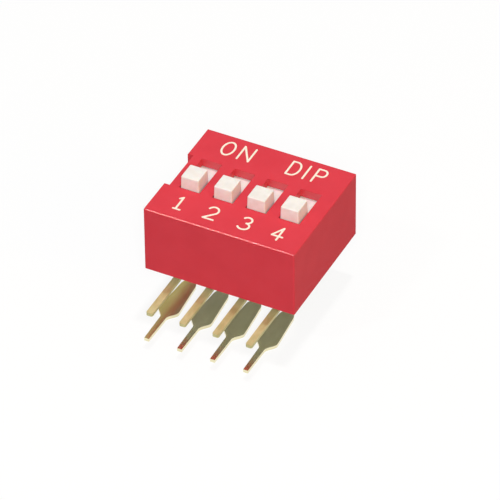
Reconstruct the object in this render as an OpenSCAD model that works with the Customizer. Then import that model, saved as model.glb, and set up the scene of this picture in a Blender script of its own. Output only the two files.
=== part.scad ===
// Slide switch block for a circuit board, with leads turned forward through a right angle.
// X runs along the row of switches, -Y points into the board and +Z is the knob side.
// The origin lies on the plane that carries the lower leads, below the middle of the whole part.

/* [Row of switches] */
// Number of switches side by side
switch_count = 4; // [2:1:10]
// Distance between neighbouring switches
pitch = 2.54; // [2.4:0.01:3.2]

/* [Slide] */
// Travel of a slide from off to on
travel = 1.9; // [1.5:0.05:2.3]
// Width of the slide plate
plate_w = 1.9; // [1.6:0.05:2.1]
// Thickness of the slide plate
plate_t = 0.8; // [0.5:0.05:1.2]
// Reach of the plate past the window at either end of the travel
plate_lap = 0.25; // [0.1:0.05:0.6]
// Width of the knob
knob_w = 1.4; // [1:0.05:1.5]
// Length of the knob along the travel
knob_l = 1.5; // [1.1:0.05:2]
// Height of the knob above the cover
knob_h = 0.97; // [0.5:0.01:1.5]
// Narrowing of the knob on each side towards its top
knob_draft = 0.03; // [0:0.01:0.2]
// Rounding of the knob's edges
knob_r = 0.08; // [0.05:0.01:0.25]
// Width of the square peg that holds the moving contact
peg_w = 0.4; // [0.3:0.02:0.5]
// Length of the peg below the moving contact
peg_end = 0.15; // [0.05:0.05:0.3]

/* [Cover] */
// Thickness of the top plate
top_t = 0.65; // [0.5:0.05:1]
// Wall beyond the first and last channel
end_wall = 0.89; // [0.85:0.01:1.3]
// Wall in front of and behind the channels
side_wall = 0.9; // [0.85:0.05:1.3]
// Wall of the skirt round the base
skirt_t = 0.5; // [0.4:0.05:0.85]
// Rounding of the outer edges
edge_r = 0.1; // [0.05:0.01:0.4]
// Depth of the index notch into the left end
notch_d = 0.45; // [0.2:0.05:0.6]
// Length of the index notch
notch_l = 3.6; // [2:0.1:5]
// Height of the index notch
notch_h = 0.8; // [0.4:0.1:2]
// Length of the snap lugs under the base
lug_l = 1.6; // [0.8:0.1:3]
// How far the snap lugs stand out of the skirt
lug_d = 0.15; // [0.05:0.01:0.25]
// Height of the snap lugs
lug_h = 0.15; // [0.1:0.01:0.18]

/* [Base] */
// Thickness of the base
base_t = 2.75; // [2:0.05:3.5]
// Height of the base above the skirt's lower edge
base_recess = 0.25; // [0.25:0.05:0.8]

/* [Contacts] */
// Room between the base and the slide plates
contact_room = 0.8; // [0.6:0.05:1.2]
// Width of the fixed contact pads
pad_w = 1; // [0.7:0.05:1.3]
// Distance between the two feet of a moving contact
foot_span = 2.4; // [2:0.1:2.8]
// Radius of a foot
foot_r = 0.15; // [0.1:0.01:0.2]
// Clear distance from the off foot to the far pad
break_gap = 0.3; // [0.2:0.05:0.6]
// Width of the moving contact
leaf_w = 0.9; // [0.7:0.05:1.2]
// Thickness of the moving contact
leaf_t = 0.12; // [0.08:0.01:0.2]
// Length of the flat middle of the moving contact
leaf_flat = 1; // [0.7:0.1:1.4]

/* [Leads] */
// Thickness of the terminal metal
metal_t = 0.25; // [0.15:0.01:0.35]
// Distance from the base's side to the middle of a leg
leg_inset = 0.67; // [0.4:0.01:1]
// Distance between the two rows of leads
row_gap = 2.54; // [2:0.01:4]
// Distance from the skirt down to the upper row
upper_drop = 0.65; // [0.5:0.05:1.2]
// Sideways offset of a row from the middle of its switches
row_shift = 0.175; // [0:0.005:0.25]
// Reach of the upper tips in front of the cover
upper_reach = 3.5; // [2.5:0.1:5]
// Reach of the lower tips in front of the cover
lower_reach = 3.3; // [2.5:0.1:5]
// Width of the upper leads
lead_w = 0.5; // [0.4:0.02:0.7]
// Rounding of the corners at the upper tips
strip_r = 0.14; // [0.05:0.01:0.2]
// Width of the lower leads behind their blades
stem_w = 0.6; // [0.4:0.02:0.9]
// Width of the blade at its shoulders
blade_w = 1.55; // [1.2:0.05:1.8]
// Width of the blade at its rear end
blade_root_w = 1.1; // [0.9:0.05:1.4]
// Length of the blade behind its shoulders
blade_l = 3; // [2:0.1:4]
// Length over which the blade flares out of its stem
flare_l = 0.65; // [0.3:0.05:1]
// Length of the curved shoulders
shoulder_l = 0.95; // [0.5:0.05:1.2]
// Distance from the cover's front to the neck below the shoulders
neck_reach = 0.85; // [0.4:0.05:1.2]
// Width of the lower tips at the neck
neck_w = 0.44; // [0.36:0.01:0.7]
// Width of the lower tips at their ends
tip_w = 0.36; // [0.3:0.01:0.5]
// Inside radius of the bend at the contact pads
pad_bend_r = 0.15; // [0.1:0.05:0.3]
// Inside radius of the bend under the cover
lead_bend_r = 0.3; // [0.2:0.05:0.45]

/* [Clearances] */
// Gap beside a slide plate in its channel
slide_gap = 0.1; // [0.05:0.01:0.15]
// Gap between a slide plate and the top plate
plate_gap = 0.05; // [0.02:0.01:0.1]
// Gap between a slide plate and the end of its channel
plate_end_gap = 0.1; // [0.05:0.01:0.2]
// Gap between a knob and the end of its window
knob_end_gap = 0.05; // [0.02:0.01:0.1]
// Gap beside a knob in its window
knob_side_gap = 0.1; // [0.04:0.005:0.12]
// Gap between the base and the cover
base_fit = 0.03; // [0.01:0.01:0.06]
// Gap round a terminal in the base
metal_fit = 0.02; // [0.01:0.01:0.04]
// Gap round the peg in the moving contact
peg_fit = 0.03; // [0.01:0.01:0.05]
// Gap between a foot and the contact pads
foot_gap = 0.03; // [0.02:0.01:0.06]

/* [Hidden] */
// Smoothness of the true curves and of the knobs' small corners
$fn = 48;
knob_fn = 24;
// Steps along a blade's curved shoulder
shoulder_steps = 12;
// Overshoot that lets a cut run clear through a face
cut = 1;

// Windows, plates and channels follow from the knob and its travel
window_w = knob_w + 2 * knob_side_gap;
window_l = knob_l + travel + 2 * knob_end_gap;
plate_l = window_l + travel + 2 * plate_lap;
channel_w = plate_w + 2 * slide_gap;
channel_l = plate_l + travel + 2 * plate_end_gap;

// The cover is built round the row of channels
row_l = (switch_count - 1) * pitch;
body_w = row_l + channel_w + 2 * end_wall;
body_d = channel_l + 2 * side_wall;
cavity_w = body_w - 2 * skirt_t;
cavity_d = body_d - 2 * skirt_t;

// Heights above the skirt's lower edge
base_top = base_recess + base_t;
plate_z = base_top + contact_room;
ceiling_z = plate_z + plate_t + plate_gap;
body_h = ceiling_z + top_t;
knob_top = body_h + knob_h;

// Base and terminal legs
base_w = cavity_w - 2 * base_fit;
base_d = cavity_d - 2 * base_fit;
leg_y = base_d / 2 - leg_inset;

// Inner ends of the fixed pads: the front one is always touched, the rear one only when on
front_pad_y = (travel - foot_span) / 2 + foot_r;
rear_pad_y = (foot_span - travel) / 2 + foot_r + break_gap;

// Leads, measured from the skirt's lower edge and from the middle of the cover
lower_drop = upper_drop + row_gap;
upper_tip_y = -body_d / 2 - upper_reach;
lower_tip_y = -body_d / 2 - lower_reach;
neck_y = -body_d / 2 - neck_reach;
shoulder_y = neck_y + shoulder_l;
blade_y = shoulder_y + blade_l;

// The part rests on its lower leads, and its origin is below the middle of its length
rest_z = lower_drop + metal_t;
middle_y = (min(upper_tip_y, lower_tip_y) + body_d / 2) / 2;

// Colours as seen
red_plastic = [0.80, 0.11, 0.13];
grey_plastic = [0.55, 0.56, 0.58];
white_plastic = [0.95, 0.92, 0.88];
gold_plate = [0.80, 0.66, 0.36];
spring_bronze = [0.78, 0.58, 0.30];

// Middle of one switch along the row, counted from 1
function switch_x(i) = (i - (switch_count + 1) / 2) * pitch;

// Moves a piece from the cover's frame to the frame of the whole part
module place() {
    translate([0, -middle_y, rest_z]) children();
}

// Box given by its middle in X and by its limits in Y and Z
module span_box(w, y, z) {
    translate([-w / 2, min(y), min(z)]) cube([w, max(y) - min(y), max(z) - min(z)]);
}

// Rectangle centred on the origin with all four corners rounded
module rounded_rect(w, d, r) {
    square([w - 2 * r, d], center = true);
    square([w, d - 2 * r], center = true);
    for (sx = [-1, 1], sy = [-1, 1]) translate([sx * (w / 2 - r), sy * (d / 2 - r)]) circle(r);
}

// Outline that stands on the first axis, with its two far corners rounded
module arched_side(w, h, r) {
    translate([-w / 2, 0]) square([w, h - r]);
    translate([r - w / 2, 0]) square([w - 2 * r, h]);
    for (sx = [-1, 1]) translate([sx * (w / 2 - r), h - r]) circle(r);
}

// Quarter of a flat ring: the bend of a strip, in the quadrant given by its two signs
module bend_ring(r_in, t, sy, sz) {
    intersection() {
        difference() {
            circle(r_in + t);
            circle(r_in);
        }
        translate([sy < 0 ? -r_in - t : 0, sz < 0 ? -r_in - t : 0]) square(r_in + t);
    }
}

// Turns an outline drawn in (Y, Z) into a piece of width w across X
module across(w) {
    rotate([90, 0, 90]) translate([0, 0, -w / 2]) linear_extrude(w) children();
}

// Outer form of the cover, rounded along its upright and upper edges
module cover_form() {
    intersection() {
        linear_extrude(body_h) rounded_rect(body_w, body_d, edge_r);
        across(body_w) arched_side(body_d, body_h, edge_r);
        rotate([90, 0, 0]) translate([0, 0, -body_d / 2]) linear_extrude(body_d)
            arched_side(body_w, body_h, edge_r);
    }
}

// Snap lug on the inside of the skirt, flat above and sloping below
module snap_lug() {
    top = base_recess - base_fit;
    rotate([90, 0, 0]) translate([0, 0, -lug_l / 2]) linear_extrude(lug_l) polygon([
        [cavity_w / 2 + lug_d, top],
        [cavity_w / 2 - lug_d, top],
        [cavity_w / 2, top - lug_h],
        [cavity_w / 2 + lug_d, top - lug_h]
    ]);
}

module cover() {
    color(red_plastic) {
        difference() {
            cover_form();
            span_box(cavity_w, [-cavity_d / 2, cavity_d / 2], [-cut, base_top + base_fit]);
            for (i = [1:switch_count]) translate([switch_x(i), 0, 0]) {
                span_box(channel_w, [-channel_l / 2, channel_l / 2], [base_top, ceiling_z]);
                span_box(window_w, [-window_l / 2, window_l / 2], [plate_z, body_h + cut]);
            }
            translate([-body_w / 2 - cut, -notch_l / 2, body_h - notch_h])
                cube([notch_d + cut, notch_l, notch_h + cut]);
        }
        snap_lug();
        mirror([1, 0, 0]) snap_lug();
    }
}

// Room in the base for one terminal: pad groove, bend pocket and leg slot
module terminal_room(side, pad_y, leg_w) {
    leg_out = side * (leg_y + metal_t / 2 + metal_fit);
    leg_in = side * (leg_y - metal_t / 2 - metal_fit);
    bend_in = side * (leg_y - metal_t / 2 - pad_bend_r - metal_fit);
    groove_z = base_top - metal_t - metal_fit;
    room_w = leg_w + 2 * metal_fit;
    span_box(pad_w + 2 * metal_fit, [pad_y - side * metal_fit, bend_in], [groove_z, base_top + cut]);
    span_box(room_w, [bend_in, leg_out], [groove_z - pad_bend_r, base_top + cut]);
    span_box(room_w, [leg_in, leg_out], [base_recess - cut, base_top]);
}

module base() {
    color(grey_plastic) difference() {
        span_box(base_w, [-base_d / 2, base_d / 2], [base_recess, base_top]);
        for (i = [1:switch_count]) {
            translate([switch_x(i) + row_shift, 0, 0]) terminal_room(-1, front_pad_y, lead_w);
            translate([switch_x(i) - row_shift, 0, 0]) terminal_room(1, rear_pad_y, stem_w);
        }
    }
}

// Knob with drafted sides and soft edges, from the plate up through the window
module knob() {
    x = knob_w / 2 - knob_r;
    y = knob_l / 2 - knob_r;
    hull() for (sx = [-1, 1], sy = [-1, 1]) {
        translate([sx * x, sy * y, plate_z + plate_t / 2])
            cylinder(r = knob_r, h = body_h - plate_z - plate_t / 2, $fn = knob_fn);
        translate([sx * (x - knob_draft), sy * (y - knob_draft), knob_top - knob_r])
            sphere(knob_r, $fn = knob_fn);
    }
}

module slider(i) {
    color(white_plastic) translate([switch_x(i), -travel / 2, 0]) {
        span_box(plate_w, [-plate_l / 2, plate_l / 2], [plate_z, plate_z + plate_t]);
        knob();
        span_box(peg_w, [-peg_w / 2, peg_w / 2], [plate_z - leaf_t - peg_end, plate_z + plate_t / 2]);
    }
}

// Side outline of a moving contact without its feet: a flat middle and two sloping arms
module leaf_outline(foot_y, foot_z) {
    flat_y = leaf_flat / 2;
    polygon([
        [-flat_y, plate_z],
        [flat_y, plate_z],
        [foot_y + leaf_t / 2, foot_z],
        [foot_y - leaf_t / 2, foot_z],
        [flat_y - leaf_t / 2, plate_z - leaf_t],
        [leaf_t / 2 - flat_y, plate_z - leaf_t],
        [leaf_t / 2 - foot_y, foot_z],
        [-leaf_t / 2 - foot_y, foot_z]
    ]);
}

module moving_contact(i) {
    foot_y = foot_span / 2;
    foot_z = base_top + foot_gap + foot_r;
    hole = peg_w + 2 * peg_fit;
    color(spring_bronze) translate([switch_x(i), -travel / 2, 0]) difference() {
        union() {
            across(leaf_w) leaf_outline(foot_y, foot_z);
            for (s = [-1, 1]) translate([0, s * foot_y, foot_z]) rotate([0, 90, 0])
                cylinder(r = foot_r, h = leaf_w, center = true);
        }
        span_box(hole, [-hole / 2, hole / 2], [plate_z - leaf_t - cut, plate_z + cut]);
    }
}

// Side outline of a terminal: pad end, bend, leg and the bend under the cover
module leg_outline(side, drop) {
    pad_turn = side * (leg_y - metal_t / 2 - pad_bend_r);
    leg = side * leg_y;
    lead_turn = leg - metal_t / 2 - lead_bend_r;
    leg_high = base_top - metal_t - pad_bend_r;
    leg_low = lead_bend_r - drop;
    translate([pad_turn, leg_high]) bend_ring(pad_bend_r, metal_t, side, 1);
    translate([leg - metal_t / 2, leg_low]) square([metal_t, leg_high - leg_low]);
    translate([lead_turn, leg_low]) bend_ring(lead_bend_r, metal_t, 1, -1);
    // Short straight ends that lie inside the pad and the lead, so that the bends join them firmly
    translate([side < 0 ? pad_turn : pad_turn - metal_t, base_top - metal_t]) square(metal_t);
    translate([lead_turn - metal_t, -drop - metal_t]) square(metal_t);
}

// One terminal: contact pad, bent leg, and the lead whose plan outline is given as a child
module terminal(side, pad_y, leg_w, drop) {
    pad_turn = side * (leg_y - metal_t / 2 - pad_bend_r);
    span_box(pad_w, [pad_y, pad_turn], [base_top - metal_t, base_top]);
    across(leg_w) leg_outline(side, drop);
    translate([0, 0, -drop - metal_t]) linear_extrude(metal_t) children();
}

// Plan of an upper lead: a narrow strip with rounded corners at its tip
module strip_plan() {
    start = -leg_y - metal_t / 2 - lead_bend_r;
    translate([0, start]) mirror([0, 1]) arched_side(lead_w, start - upper_tip_y, strip_r);
}

// Right half of a blade's outline from the bend to the tip, with an S-shaped shoulder
function blade_half() = concat(
    [
        [stem_w / 2, leg_y - metal_t / 2 - lead_bend_r],
        [stem_w / 2, blade_y + flare_l],
        [blade_root_w / 2, blade_y]
    ],
    [for (k = [0:shoulder_steps])
        let (t = k / shoulder_steps)
        [neck_w / 2 + (blade_w - neck_w) / 4 * (1 + cos(180 * t)), shoulder_y - shoulder_l * t]],
    [[tip_w / 2, lower_tip_y]]
);

// Plan of a lower lead: stem, flared blade with curved shoulders, and a tapering tip
module blade_plan() {
    right = blade_half();
    last = len(right) - 1;
    polygon(concat(right, [for (k = [last:-1:0]) [-right[k][0], right[k][1]]]));
}

module front_terminal(i) {
    color(gold_plate) translate([switch_x(i) + row_shift, 0, 0])
        terminal(-1, front_pad_y, lead_w, upper_drop) strip_plan();
}

module rear_terminal(i) {
    color(gold_plate) translate([switch_x(i) - row_shift, 0, 0])
        terminal(1, rear_pad_y, stem_w, lower_drop) blade_plan();
}

place() cover();
place() base();
for (i = [1:switch_count]) {
    place() slider(i);
    place() moving_contact(i);
    place() front_terminal(i);
    place() rear_terminal(i);
}
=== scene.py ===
# %% [markdown]
# A right-angle DIP switch.
# The real thing is a small block that sets options on a circuit board. A red moulded cover has four
# windows, a white slide looks out of each one, and two rows of gold-plated leads turn forward into the
# board. The solids come from a finished CAD model, so nothing here changes a size or moves a part. The
# lesson gives each surface its finish, prints the marks on the cover, and sets up the camera and the light.
# Lengths are in metres, which is Blender's own unit, and MM turns millimetres into them. A length whose
# name ends in _MM or _mm is in plain millimetres.

# %% Load the solids
import math

import bmesh
import bpy
from mathutils import Matrix, Vector
from mathutils.geometry import delaunay_2d_cdt


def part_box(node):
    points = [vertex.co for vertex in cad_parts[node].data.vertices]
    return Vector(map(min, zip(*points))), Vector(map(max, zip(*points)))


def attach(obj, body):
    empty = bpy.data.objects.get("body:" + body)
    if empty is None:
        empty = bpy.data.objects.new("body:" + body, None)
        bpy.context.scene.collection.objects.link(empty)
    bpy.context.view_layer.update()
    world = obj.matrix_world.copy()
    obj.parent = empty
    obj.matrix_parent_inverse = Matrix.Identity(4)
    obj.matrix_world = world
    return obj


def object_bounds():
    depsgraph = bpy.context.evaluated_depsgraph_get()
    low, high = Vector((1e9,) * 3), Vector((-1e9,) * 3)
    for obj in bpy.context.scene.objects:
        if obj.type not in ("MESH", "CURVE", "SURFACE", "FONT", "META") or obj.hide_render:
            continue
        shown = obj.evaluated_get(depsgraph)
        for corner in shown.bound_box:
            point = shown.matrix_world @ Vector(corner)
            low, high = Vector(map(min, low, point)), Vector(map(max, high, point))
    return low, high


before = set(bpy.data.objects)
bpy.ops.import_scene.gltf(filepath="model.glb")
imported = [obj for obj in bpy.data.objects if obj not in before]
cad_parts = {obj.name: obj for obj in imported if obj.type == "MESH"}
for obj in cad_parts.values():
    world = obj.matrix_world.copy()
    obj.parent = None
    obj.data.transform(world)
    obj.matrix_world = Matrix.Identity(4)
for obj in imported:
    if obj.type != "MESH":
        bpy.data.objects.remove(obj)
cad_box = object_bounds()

MM = 0.001
scene = bpy.context.scene
scene.view_settings.view_transform = "Standard"
print("box in mm:", [round(side / MM, 2) for side in cad_box[1] - cad_box[0]])

# %% [markdown]
# The camera.
# A catalogue picture of a part this small is taken from far away with a long lens, which keeps parallel
# edges nearly parallel. A camera can be placed by hand until the corners match, but it is steadier to write
# down the angles and the scale of the picture and to work the lens out of them. The cover's lower face is
# the reference, because its corners are sharp in the picture and its size is known.

# %% Work out the view
AZIMUTH = math.radians(26.885)
ELEVATION = math.radians(39.756)
ROLL = math.radians(-0.638)

towards_camera = Vector((
    math.sin(AZIMUTH) * math.cos(ELEVATION),
    -math.cos(AZIMUTH) * math.cos(ELEVATION),
    math.sin(ELEVATION),
))
level = Vector((math.cos(AZIMUTH), math.sin(AZIMUTH), 0))
upright = towards_camera.cross(level)
right = math.cos(ROLL) * level + math.sin(ROLL) * upright
up = math.cos(ROLL) * upright - math.sin(ROLL) * level
print("towards the camera:", [round(part, 3) for part in towards_camera])

# %% Place the camera
PICTURE_SIZE = 500
PIXELS_PER_MM = 14.417
COVER_PIXEL = (250.93, 250.37)
SENSOR_WIDTH_MM = 36
CAMERA_DISTANCE = 350 * MM
CLIP_START = 10 * MM

cover_low, cover_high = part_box("cover")
cover_middle = (cover_low + cover_high) / 2
cover_foot = Vector((cover_middle.x, cover_middle.y, cover_low.z))
off_centre = [(pixel - PICTURE_SIZE / 2) / PIXELS_PER_MM * MM for pixel in COVER_PIXEL]
aim = cover_foot - off_centre[0] * right + off_centre[1] * up

camera_data = bpy.data.cameras.new("catalogue_camera")
camera_data.sensor_width = SENSOR_WIDTH_MM
camera_data.lens = PIXELS_PER_MM / MM * CAMERA_DISTANCE * SENSOR_WIDTH_MM / PICTURE_SIZE
camera_data.clip_start = CLIP_START
camera = bpy.data.objects.new("catalogue_camera", camera_data)
turn = Matrix((right, up, towards_camera)).transposed().to_4x4()
camera.matrix_world = Matrix.Translation(aim + CAMERA_DISTANCE * towards_camera) @ turn
scene.collection.objects.link(camera)
scene.camera = camera
print("lens in mm:", round(camera_data.lens, 1))

# %% [markdown]
# The white sky.
# In the picture the switch stands on plain white. Turning the lamps up until everything round it clips
# would bleach the switch too, so the white is made where it is seen instead. The Light Path node tells the
# rays apart: those from the camera, and those mirrored by the metal, meet a white of strength 1, while the
# light that falls on the switch comes from a calmer sky.

# %% Tell the rays apart
GROUND_RAYS = ("Is Camera Ray", "Is Glossy Ray", "Is Transmission Ray")


def feed(tree, socket, value):
    """Links the value to the socket if it is a socket too, and otherwise sets it there."""
    if isinstance(value, bpy.types.NodeSocket):
        tree.links.new(value, socket)
    else:
        socket.default_value = value


def number_node(tree, operation, *values):
    """The result of one calculation. Each value is a socket or a plain number."""
    node = tree.nodes.new("ShaderNodeMath")
    node.operation = operation
    for socket, value in zip(node.inputs, values):
        feed(tree, socket, value)
    return node.outputs[0]


def seen_directly(tree):
    """1 for rays that show the ground, straight, mirrored or through something clear, and 0 for others."""
    path = tree.nodes.new("ShaderNodeLightPath")
    seen, *others = [path.outputs[kind] for kind in GROUND_RAYS]
    for other in others:
        seen = number_node(tree, "MAXIMUM", seen, other)
    return seen


def mix_shaders(tree, share, first, second):
    """The first shader where share is 0, the second where it is 1, and a mix between."""
    mix = tree.nodes.new("ShaderNodeMixShader")
    for socket, value in zip(mix.inputs, (share, first, second)):
        feed(tree, socket, value)
    return mix.outputs[0]


print("rays that show the ground:", GROUND_RAYS)

# %% Make the sky
SKY_LIGHT = 0.33
SHOWN_SKY = 1
WHITE = (1, 1, 1, 1)

world = bpy.data.worlds.new("studio_sky")
world.use_nodes = True
scene.world = world
sky = world.node_tree
calm = sky.nodes["Background"]
bright = sky.nodes.new("ShaderNodeBackground")
for background, strength in ((calm, SKY_LIGHT), (bright, SHOWN_SKY)):
    background.inputs["Color"].default_value = WHITE
    background.inputs["Strength"].default_value = strength
shown_sky = mix_shaders(sky, seen_directly(sky), calm.outputs[0], bright.outputs[0])
sky.links.new(shown_sky, sky.nodes["World Output"].inputs["Surface"])
print("light from the sky:", SKY_LIGHT)

# %% [markdown]
# The floor.
# The switch stands on a wide sheet of white paper, which works as the sky does. Rays that show the paper
# get mostly plain white, with a small share of ordinary diffuse shading that keeps the soft shadow of the
# switch. Plain white alone would be simpler, but then the switch would seem to float. All other rays meet a
# duller paper, so that less light comes back up under the cover.

# %% Lay the floor
PAPER_WHITE_SHARE = 0.85
PAPER_SHADING = (0.97, 0.97, 0.97, 1)
PAPER_BOUNCE = (0.46, 0.46, 0.46, 1)
FLOOR_SIZE = 3.0
FLOOR_DROP = 0.01 * MM


def empty_material(name):
    """A material with nothing but its output: the material, its node tree and the socket for its surface."""
    material = bpy.data.materials.new(name)
    material.use_nodes = True
    tree = material.node_tree
    tree.nodes.clear()
    output = tree.nodes.new("ShaderNodeOutputMaterial")
    return material, tree, output.inputs["Surface"]


def plain_shader(tree, kind, tone):
    """One basic shader of one colour."""
    shader = tree.nodes.new(kind)
    shader.inputs["Color"].default_value = tone
    return shader.outputs[0]


def square_sheet(name, size, material):
    """A flat square with its middle at the origin."""
    half = size / 2
    corners = [(-half, -half, 0), (half, -half, 0), (half, half, 0), (-half, half, 0)]
    mesh = bpy.data.meshes.new(name)
    mesh.from_pydata(corners, [], [(0, 1, 2, 3)])
    mesh.materials.append(material)
    sheet = bpy.data.objects.new(name, mesh)
    scene.collection.objects.link(sheet)
    return sheet


paper, tree, surface = empty_material("floor_paper")
shading = plain_shader(tree, "ShaderNodeBsdfDiffuse", PAPER_SHADING)
bounce = plain_shader(tree, "ShaderNodeBsdfDiffuse", PAPER_BOUNCE)
glow = plain_shader(tree, "ShaderNodeEmission", WHITE)
shown_paper = mix_shaders(tree, PAPER_WHITE_SHARE, shading, glow)
tree.links.new(mix_shaders(tree, seen_directly(tree), bounce, shown_paper), surface)
floor = square_sheet("floor", FLOOR_SIZE, paper)
floor.location.z = cad_box[0].z - FLOOR_DROP
print("floor at mm:", round(floor.location.z / MM, 3))

# %% [markdown]
# The lamps.
# The top of the cover is the brightest face, the front and the right end are darker, and the slides are lit
# right down in their windows. So one small strong lamp hangs almost straight above, a little behind the
# switch: it reaches into the windows and leaves the inner ends of the upper leads in the cover's shade. A
# lamp right behind the camera opens the faces that look at it, and a warm one stands on the right. One
# large softbox would be simpler, but it would leave the windows dark. The weak lamp at the front left has
# one task: the rounded front edge of the top mirrors it towards the camera as a thin pale line.

# %% Hang the lamps
STUDIO_DISTANCE = 0.4


def hang(thing, direction):
    """Hangs a lamp or a card in the given direction from the cover, facing it."""
    away = Vector(direction).normalized()
    thing.location = cover_middle + STUDIO_DISTANCE * away
    thing.rotation_euler = away.to_track_quat("Z", "Y").to_euler()


def hang_lamp(name, direction, size, power, tint=(1, 1, 1)):
    """A square area lamp that looks at the cover from the given direction."""
    data = bpy.data.lights.new(name, "AREA")
    data.size = size
    data.energy = power
    data.color = tint
    lamp = bpy.data.objects.new(name, data)
    hang(lamp, direction)
    scene.collection.objects.link(lamp)
    return lamp


lamps = [
    hang_lamp("overhead_lamp", direction=(0, 0.17, 1), size=0.02, power=0.5),
    hang_lamp("camera_lamp", direction=towards_camera, size=0.08, power=0.735),
    hang_lamp("warm_right_lamp", direction=(1, -0.25, 0.55), size=0.15, power=0.23, tint=(1, 0.68, 0.03)),
    hang_lamp("edge_lamp", direction=(-0.348, -0.544, 0.763), size=0.03, power=0.13),
]
print("lamps in watts:", {lamp.name: round(lamp.data.energy, 3) for lamp in lamps})

# %% [markdown]
# A card for the metal.
# Polished metal takes its colour from what stands round it. The lower leads lie under the cover and mirror
# its dark side, but the first one looks past the cover's end into the open studio. Plain white there would
# make that one blade as pale as the paper. Photographers hang up a card for this, and so does this scene: a
# dull khaki one, up behind the switch, which only mirrored rays can meet. It throws no shadow and stays out
# of the picture.

# %% Hang the card
CARD_SIZE = 0.25
CARD_KHAKI = (0.46, 0.41, 0.22, 1)
RAYS_THAT_MISS = ("camera", "diffuse", "transmission", "volume_scatter", "shadow")

card_paint, tree, surface = empty_material("khaki_card")
tree.links.new(plain_shader(tree, "ShaderNodeEmission", CARD_KHAKI), surface)
card = square_sheet("khaki_card", CARD_SIZE, card_paint)
hang(card, (-towards_camera.x, -towards_camera.y, towards_camera.z))
for kind in RAYS_THAT_MISS:
    setattr(card, f"visible_{kind}", False)
print("card at mm:", [round(place / MM) for place in card.location])

# %% [markdown]
# Starting a finish.
# Every finish here is a node material round one Principled shader, which can be plastic as well as metal.
# What is the same all over a surface is set straight on that shader's sockets. The solids keep their
# shapes: dressing one only changes the material in its slot, and a row of four pieces shares one finish.

# %% Start a finish and put it on
SWITCHES = range(1, 5)


def start_finish(name):
    """A new node material: the material, its node tree and its main shader."""
    material = bpy.data.materials.new(name)
    material.use_nodes = True
    tree = material.node_tree
    return material, tree, tree.nodes["Principled BSDF"]


def set_sockets(node, values):
    """Sets the named sockets of a node to plain values."""
    for name, value in values.items():
        node.inputs[name].default_value = value


def row_of(piece):
    """Names of the four solids of one kind."""
    return [f"{piece}_{i}" for i in SWITCHES]


def dress(material, *names):
    """Puts one finish on the named solids."""
    for name in names:
        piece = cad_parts[name]
        piece.data.materials.clear()
        piece.data.materials.append(material)


print("switches:", list(SWITCHES))

# %% [markdown]
# Patterns.
# No moulded or plated surface is quite even, and noise is what breaks it up. One helper gives a noise whose
# grain is stated in millimetres, and three others let such a pattern drive the colour, the roughness or a
# fine relief. Pictures wrapped over the surface could do this too, but noise in object space needs no
# unwrapping and moves with its piece. Noise seldom leaves the middle of its range, so only that span drives
# the colour and the roughness.

# %% Patterns and what they drive
COLOUR_SPAN = (0.35, 0.65)
ROUGHNESS_SPAN = (0.3, 0.7)


def grain(tree, size_mm, detail, stretch=(1, 1, 1)):
    """Noise with spots of about size_mm. A stretch above 1 draws the spots out along that axis."""
    place = tree.nodes.new("ShaderNodeTexCoord")
    scale = tree.nodes.new("ShaderNodeMapping")
    scale.inputs["Scale"].default_value = [1 / (size_mm * MM * s) for s in stretch]
    noise = tree.nodes.new("ShaderNodeTexNoise")
    set_sockets(noise, {"Scale": 1, "Detail": detail})
    tree.links.new(place.outputs["Object"], scale.inputs["Vector"])
    tree.links.new(scale.outputs["Vector"], noise.inputs["Vector"])
    return noise.outputs["Fac"]


def paint(tree, shader, pattern, dark, light):
    """Colours the surface from dark to light, following a pattern."""
    ramp = tree.nodes.new("ShaderNodeValToRGB")
    for stop, position, tone in zip(ramp.color_ramp.elements, COLOUR_SPAN, (dark, light)):
        stop.position = position
        stop.color = (*tone, 1)
    tree.links.new(pattern, ramp.inputs["Fac"])
    tree.links.new(ramp.outputs["Color"], shader.inputs["Base Color"])


def roughen(tree, shader, pattern, low, high):
    """Lets the roughness run from low to high, following a pattern."""
    spread = tree.nodes.new("ShaderNodeMapRange")
    set_sockets(spread, {
        "From Min": ROUGHNESS_SPAN[0],
        "From Max": ROUGHNESS_SPAN[1],
        "To Min": low,
        "To Max": high,
    })
    tree.links.new(pattern, spread.inputs["Value"])
    tree.links.new(spread.outputs["Result"], shader.inputs["Roughness"])


def emboss(tree, shader, pattern, depth_mm):
    """Raises the surface where the pattern is high."""
    bump = tree.nodes.new("ShaderNodeBump")
    bump.inputs["Distance"].default_value = depth_mm * MM
    tree.links.new(pattern, bump.inputs["Height"])
    tree.links.new(bump.outputs["Normal"], shader.inputs["Normal"])


print("spans of noise in use:", COLOUR_SPAN, ROUGHNESS_SPAN)

# %% [markdown]
# Smooth places on the cover.
# Two places on the cover are smoother than the rest: the rounded front edge of its top, and the walls of
# its windows. They could be painted as masks by hand. But both can be told from where a point lies in the
# cover's box, so a few sums on its coordinates find them, and the masks stay sharp from close up.

# %% Find the smooth places


def place_axes(tree):
    """The X, Y and Z of the shaded point, in metres."""
    place = tree.nodes.new("ShaderNodeTexCoord")
    axes = tree.nodes.new("ShaderNodeSeparateXYZ")
    tree.links.new(place.outputs["Object"], axes.inputs[0])
    return axes.outputs


def front_edge(tree, low, high, core_mm, reach_mm):
    """1 up to core_mm from the edge between the front and the top of a box, fading to 0 at reach_mm."""
    _, y, z = place_axes(tree)
    behind = number_node(tree, "SUBTRACT", y, low.y)
    below = number_node(tree, "SUBTRACT", high.z, z)
    fade = tree.nodes.new("ShaderNodeMapRange")
    set_sockets(fade, {"From Min": reach_mm * MM, "From Max": core_mm * MM})
    tree.links.new(number_node(tree, "MAXIMUM", behind, below), fade.inputs["Value"])
    return fade.outputs["Result"]


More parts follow.
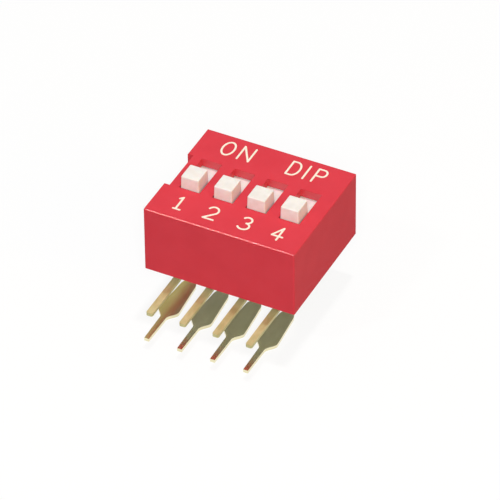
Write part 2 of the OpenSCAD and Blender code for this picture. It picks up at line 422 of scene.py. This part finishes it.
def inner_walls(tree, low, high, depth_mm, skin_mm):
    """1 more than depth_mm inside the sides of a box and more than skin_mm below its top, 0 elsewhere."""
    x, y, z = place_axes(tree)
    inside = number_node(tree, "LESS_THAN", z, high.z - skin_mm * MM)
    for axis, lowest, highest in ((x, low.x, high.x), (y, low.y, high.y)):
        off_middle = number_node(tree, "SUBTRACT", axis, (lowest + highest) / 2)
        distance = number_node(tree, "ABSOLUTE", off_middle)
        within = number_node(tree, "LESS_THAN", distance, (highest - lowest) / 2 - depth_mm * MM)
        inside = number_node(tree, "MULTIPLY", inside, within)
    return inside


print("cover in mm:", [round(side / MM, 2) for side in cover_high - cover_low])

# %% [markdown]
# The red cover.
# The cover is moulded in a hard red plastic from a lightly spark-eroded tool, so it is satin and not
# glossy. A flat red would look like a drawing. Two scales of noise are enough: a broad one that lets the
# colour drift a little, as moulded plastic does, and a fine one for the skin of the tool, which breaks the
# highlights up. The cores that shape the windows are polished, and the rounded front edge of the top comes
# out smooth as well. A clear coat is laid on those places alone: the window walls mirror the white slides
# in it, and so they look nearly as bright as the top.

# %% Finish of the cover
EDGE_CORE_MM = 0.03
EDGE_REACH_MM = 0.09
WALL_DEPTH_MM = 0.6
TOP_SKIN_MM = 0.01
WALL_GLOSS = 0.6

red_plastic, tree, shader = start_finish("red_moulded_plastic")
drift = grain(tree, size_mm=2.2, detail=3)
skin = grain(tree, size_mm=0.07, detail=2)
paint(tree, shader, drift, dark=(0.69, 0.050, 0.071), light=(0.72, 0.055, 0.077))
roughen(tree, shader, skin, low=0.46, high=0.58)
emboss(tree, shader, skin, depth_mm=0.002)
edge_gloss = front_edge(tree, cover_low, cover_high, EDGE_CORE_MM, EDGE_REACH_MM)
walls = inner_walls(tree, cover_low, cover_high, WALL_DEPTH_MM, TOP_SKIN_MM)
wall_gloss = number_node(tree, "MULTIPLY", walls, WALL_GLOSS)
gloss = number_node(tree, "MAXIMUM", edge_gloss, wall_gloss)
tree.links.new(gloss, shader.inputs["Coat Weight"])
set_sockets(shader, {
    "Coat Roughness": 0.12,
    "Coat IOR": 1.8,
    "Specular IOR Level": 0.06,
    "Subsurface Weight": 0.25,
    "Subsurface Radius": (1.0, 0.2, 0.2),
    "Subsurface Scale": 0.4 * MM,
})
dress(red_plastic, "cover")
print("cover finish:", red_plastic.name)

# %% [markdown]
# The grey base.
# The base closes the cover from below and holds the terminals. It is a glass-filled plastic, matt and grey.
# It shows only from underneath and as the dull grey that the lower leads mirror. The fibres could be drawn
# one by one, but they are too thin to be seen singly. Fine noise in the colour and the roughness gives the
# dusty look that they have together.

# %% Finish of the base
grey_plastic, tree, shader = start_finish("grey_filled_plastic")
fibres = grain(tree, size_mm=0.12, detail=4)
paint(tree, shader, fibres, dark=(0.60, 0.67, 0.70), light=(0.70, 0.77, 0.80))
roughen(tree, shader, fibres, low=0.5, high=0.7)
emboss(tree, shader, fibres, depth_mm=0.003)
dress(grey_plastic, "base")
print("base finish:", grey_plastic.name)

# %% [markdown]
# The white slides.
# The slides are a warm white nylon-like plastic. Light goes a little way into it, so the edges glow and the
# red of the cover tints the sides. Subsurface scattering that reaches up to a quarter of a millimetre gives
# that softness, where a plain white paint would look like chalk.

# %% Finish of the slides
white_plastic, tree, shader = start_finish("white_slide_plastic")
cloud = grain(tree, size_mm=0.6, detail=3)
skin = grain(tree, size_mm=0.06, detail=2)
paint(tree, shader, cloud, dark=(0.86, 0.81, 0.77), light=(0.92, 0.88, 0.85))
roughen(tree, shader, skin, low=0.32, high=0.45)
emboss(tree, shader, skin, depth_mm=0.0015)
set_sockets(shader, {
    "Subsurface Weight": 0.3,
    "Subsurface Radius": (1.0, 0.7, 0.5),
    "Subsurface Scale": 0.25 * MM,
})
dress(white_plastic, *row_of("slider"))
print("slide finish:", white_plastic.name)

# %% [markdown]
# The leads.
# Both rows are stamped from bronze strip and plated with a thin film of gold. Rolling leaves faint lines
# along the strip, so the noise is drawn out along Y, the way the strip ran. The upper row is satin, and
# lamps set its colour. The lower row is paler and nearly a mirror. Its blades show the underside of the
# switch, which is why they look olive and dark beside their own bright edges. Painting them olive would
# lose that as soon as the view turns. The moving contacts inside are bare spring bronze, and the same
# helper makes their finish.

# %% Finish of the leads


def rolled_finish(name, dark, light, roughness, metallic):
    """The surface of rolled strip: cloudy colour, and fine lines along the strip."""
    material, tree, shader = start_finish(name)
    cloud = grain(tree, size_mm=0.5, detail=4, stretch=(1, 2, 1))
    lines = grain(tree, size_mm=0.03, detail=3, stretch=(1, 25, 1))
    paint(tree, shader, cloud, dark, light)
    roughen(tree, shader, lines, *roughness)
    emboss(tree, shader, lines, depth_mm=0.0003)
    shader.inputs["Metallic"].default_value = metallic
    return material


gold_plate = rolled_finish(
    "gold_plate", dark=(0.51, 0.47, 0.21), light=(0.64, 0.60, 0.31), roughness=(0.4, 0.55), metallic=0.3
)
pale_plate = rolled_finish(
    "pale_plate", dark=(0.80, 0.74, 0.48), light=(0.88, 0.82, 0.56), roughness=(0.19, 0.25), metallic=1.0
)
spring_bronze = rolled_finish(
    "spring_bronze", dark=(0.60, 0.38, 0.16), light=(0.72, 0.48, 0.22), roughness=(0.25, 0.35), metallic=0.9
)
dress(gold_plate, *row_of("front_terminal"))
dress(pale_plate, *row_of("rear_terminal"))
dress(spring_bronze, *row_of("moving_contact"))
print("metal finishes:", gold_plate.name, pale_plate.name, spring_bronze.name)

# %% [markdown]
# The print on the cover.
# ON, DIP and the numbers are stamped on with cream ink, in strokes of one width with round ends. A font
# would bring its own letter shapes, so each mark is drawn as a pen would draw it: a few lines and arcs in a
# box one unit high. Stamping a round-ended bar along every step of a line gives overlapping outlines, and a
# Delaunay fill that keeps every triangle inside any of them joins the bars to one clean shape.

# %% Draw a mark with a round pen
PEN_RADIUS_MM = 0.07
PEN_STEPS = 8
# The kind of fill that keeps only the triangles inside an outline
FILL_INSIDE = 1
# Corners closer than this become one
MERGE_MM = 1e-5


def bar_outline(start, end):
    """Outline of one straight pen line with round ends."""
    along = math.atan2(end.y - start.y, end.x - start.x)
    outline = []
    for tip, first in ((end, -math.pi / 2), (start, math.pi / 2)):
        for k in range(PEN_STEPS + 1):
            angle = along + first + math.pi * k / PEN_STEPS
            outline.append(tip + PEN_RADIUS_MM * Vector((math.cos(angle), math.sin(angle))))
    return outline


def ink_triangles(strokes):
    """Corners and triangles of the flat shape that the pen covers, in millimetres."""
    corners, outlines = [], []
    for stroke in strokes:
        for start, end in zip(stroke, stroke[1:]):
            outline = bar_outline(Vector(start), Vector(end))
            outlines.append(list(range(len(corners), len(corners) + len(outline))))
            corners.extend(outline)
    filled = delaunay_2d_cdt(corners, [], outlines, FILL_INSIDE, MERGE_MM)
    points, _, triangles, _, _, bars_over = filled
    return points, [triangle for triangle, bars in zip(triangles, bars_over) if bars]


print("pen width in mm:", 2 * PEN_RADIUS_MM)

# %% [markdown]
# The shapes of the marks.
# Each mark is a list of strokes in a box that is one unit wide and one unit high, measured along the middle
# of the line. Round stretches are parts of an ellipse, which take less writing than rows of points and stay
# even. A table then says where on the cover each mark stands and how large it is, in millimetres from the
# middle.

# %% Strokes of the letters and numbers
ARC_STEP = math.radians(15)


def arc(middle, radii, start, end):
    """Points along part of an ellipse, from one angle to another in degrees."""
    first, last = math.radians(start), math.radians(end)
    steps = max(2, math.ceil(abs(last - first) / ARC_STEP))
    angles = [first + (last - first) * k / steps for k in range(steps + 1)]
    return [(middle[0] + radii[0] * math.cos(a), middle[1] + radii[1] * math.sin(a)) for a in angles]


MARKS = {
    "O": [arc((0.5, 0.5), (0.5, 0.5), 90, 450)],
    "N": [[(0, 0), (0, 1), (1, 0), (1, 1)]],
    "D": [[(0, 0), (0, 1), (0.45, 1), *arc((0.45, 0.5), (0.55, 0.5), 90, -90), (0, 0)]],
    "I": [[(0.5, 0), (0.5, 1)]],
    "P": [[(0, 0), (0, 1), (0.6, 1), *arc((0.6, 0.74), (0.4, 0.26), 90, -90), (0, 0.48)]],
    "1": [[(0.3, 0.85), (0.55, 1), (0.55, 0)], [(0.32, 0), (0.95, 0)]],
    "2": [[*arc((0.5, 0.7), (0.48, 0.3), 160, -30), (0, 0), (1, 0)]],
    "3": [[*arc((0.48, 0.76), (0.42, 0.24), 150, -80), *arc((0.46, 0.27), (0.54, 0.27), 80, -150)]],
    "4": [[(0.65, 0), (0.65, 1), (0, 0.3), (1, 0.3)]],
}
print("marks:", " ".join(MARKS))

# %% Places of the letters and numbers
LETTER_Y_MM = (2.79, 4.23)
NUMBER_Y_MM = (-3.95, -2.64)
PRINT = {
    "print_on": [("O", (-3.86, -2.99), LETTER_Y_MM), ("N", (-2.45, -1.59), LETTER_Y_MM)],
    "print_dip": [
        ("D", (1.3, 2.07), LETTER_Y_MM),
        ("I", (2.3, 2.9), LETTER_Y_MM),
        ("P", (3.26, 3.98), LETTER_Y_MM),
    ],
    "number_1": [("1", (-4.2, -3.4), NUMBER_Y_MM)],
    "number_2": [("2", (-1.68, -0.9), NUMBER_Y_MM)],
    "number_3": [("3", (0.9, 1.68), NUMBER_Y_MM)],
    "number_4": [("4", (3.4, 4.2), NUMBER_Y_MM)],
}


def in_box(stroke, across, upward):
    """A stroke taken from the unit box to a box on the cover, in millimetres."""
    width = across[1] - across[0]
    height = upward[1] - upward[0]
    return [(across[0] + x * width, upward[0] + y * height) for x, y in stroke]


print("printed words and numbers:", len(PRINT))

# %% [markdown]
# The ink.
# Stamped ink is a matt film that covers a little unevenly. It could be a mask in the cover's material, but
# a body of its own has a sharp edge from close up and is part of the mesh. A Solidify modifier makes that
# body, sunk a hair into the plastic, so that it meets the cover without a gap from any side.

# %% Finish of the ink
cream_ink, tree, shader = start_finish("cream_ink")
patches = grain(tree, size_mm=0.15, detail=3)
paint(tree, shader, patches, dark=(0.90, 0.80, 0.66), light=(0.97, 0.90, 0.77))
roughen(tree, shader, patches, low=0.5, high=0.65)
print("ink finish:", cream_ink.name)

# %% Print the marks
INK_HEIGHT = 0.02 * MM
INK_SINK = 0.005 * MM


def flat_mark(name, letters):
    """The flat mesh of one word or number."""
    shape = bmesh.new()
    for letter, across, upward in letters:
        corners, triangles = ink_triangles([in_box(stroke, across, upward) for stroke in MARKS[letter]])
        points = [shape.verts.new((cover_middle.x + c.x * MM, cover_middle.y + c.y * MM, 0)) for c in corners]
        for triangle in triangles:
            shape.faces.new([points[k] for k in triangle])
    loose = [point for point in shape.verts if not point.link_faces]
    bmesh.ops.delete(shape, geom=loose, context="VERTS")
    mesh = bpy.data.meshes.new(name)
    shape.to_mesh(mesh)
    shape.free()
    return mesh


def print_mark(name, letters):
    """One printed word or number on top of the cover."""
    mark = bpy.data.objects.new(name, flat_mark(name, letters))
    mark.data.materials.append(cream_ink)
    mark.location.z = cover_high.z - INK_SINK
    scene.collection.objects.link(mark)
    body = mark.modifiers.new("ink_body", "SOLIDIFY")
    body.thickness = INK_HEIGHT + INK_SINK
    body.offset = 1
    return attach(mark, "housing")


printed = [print_mark(name, letters) for name, letters in PRINT.items()]
print("printed:", [mark.name for mark in printed])
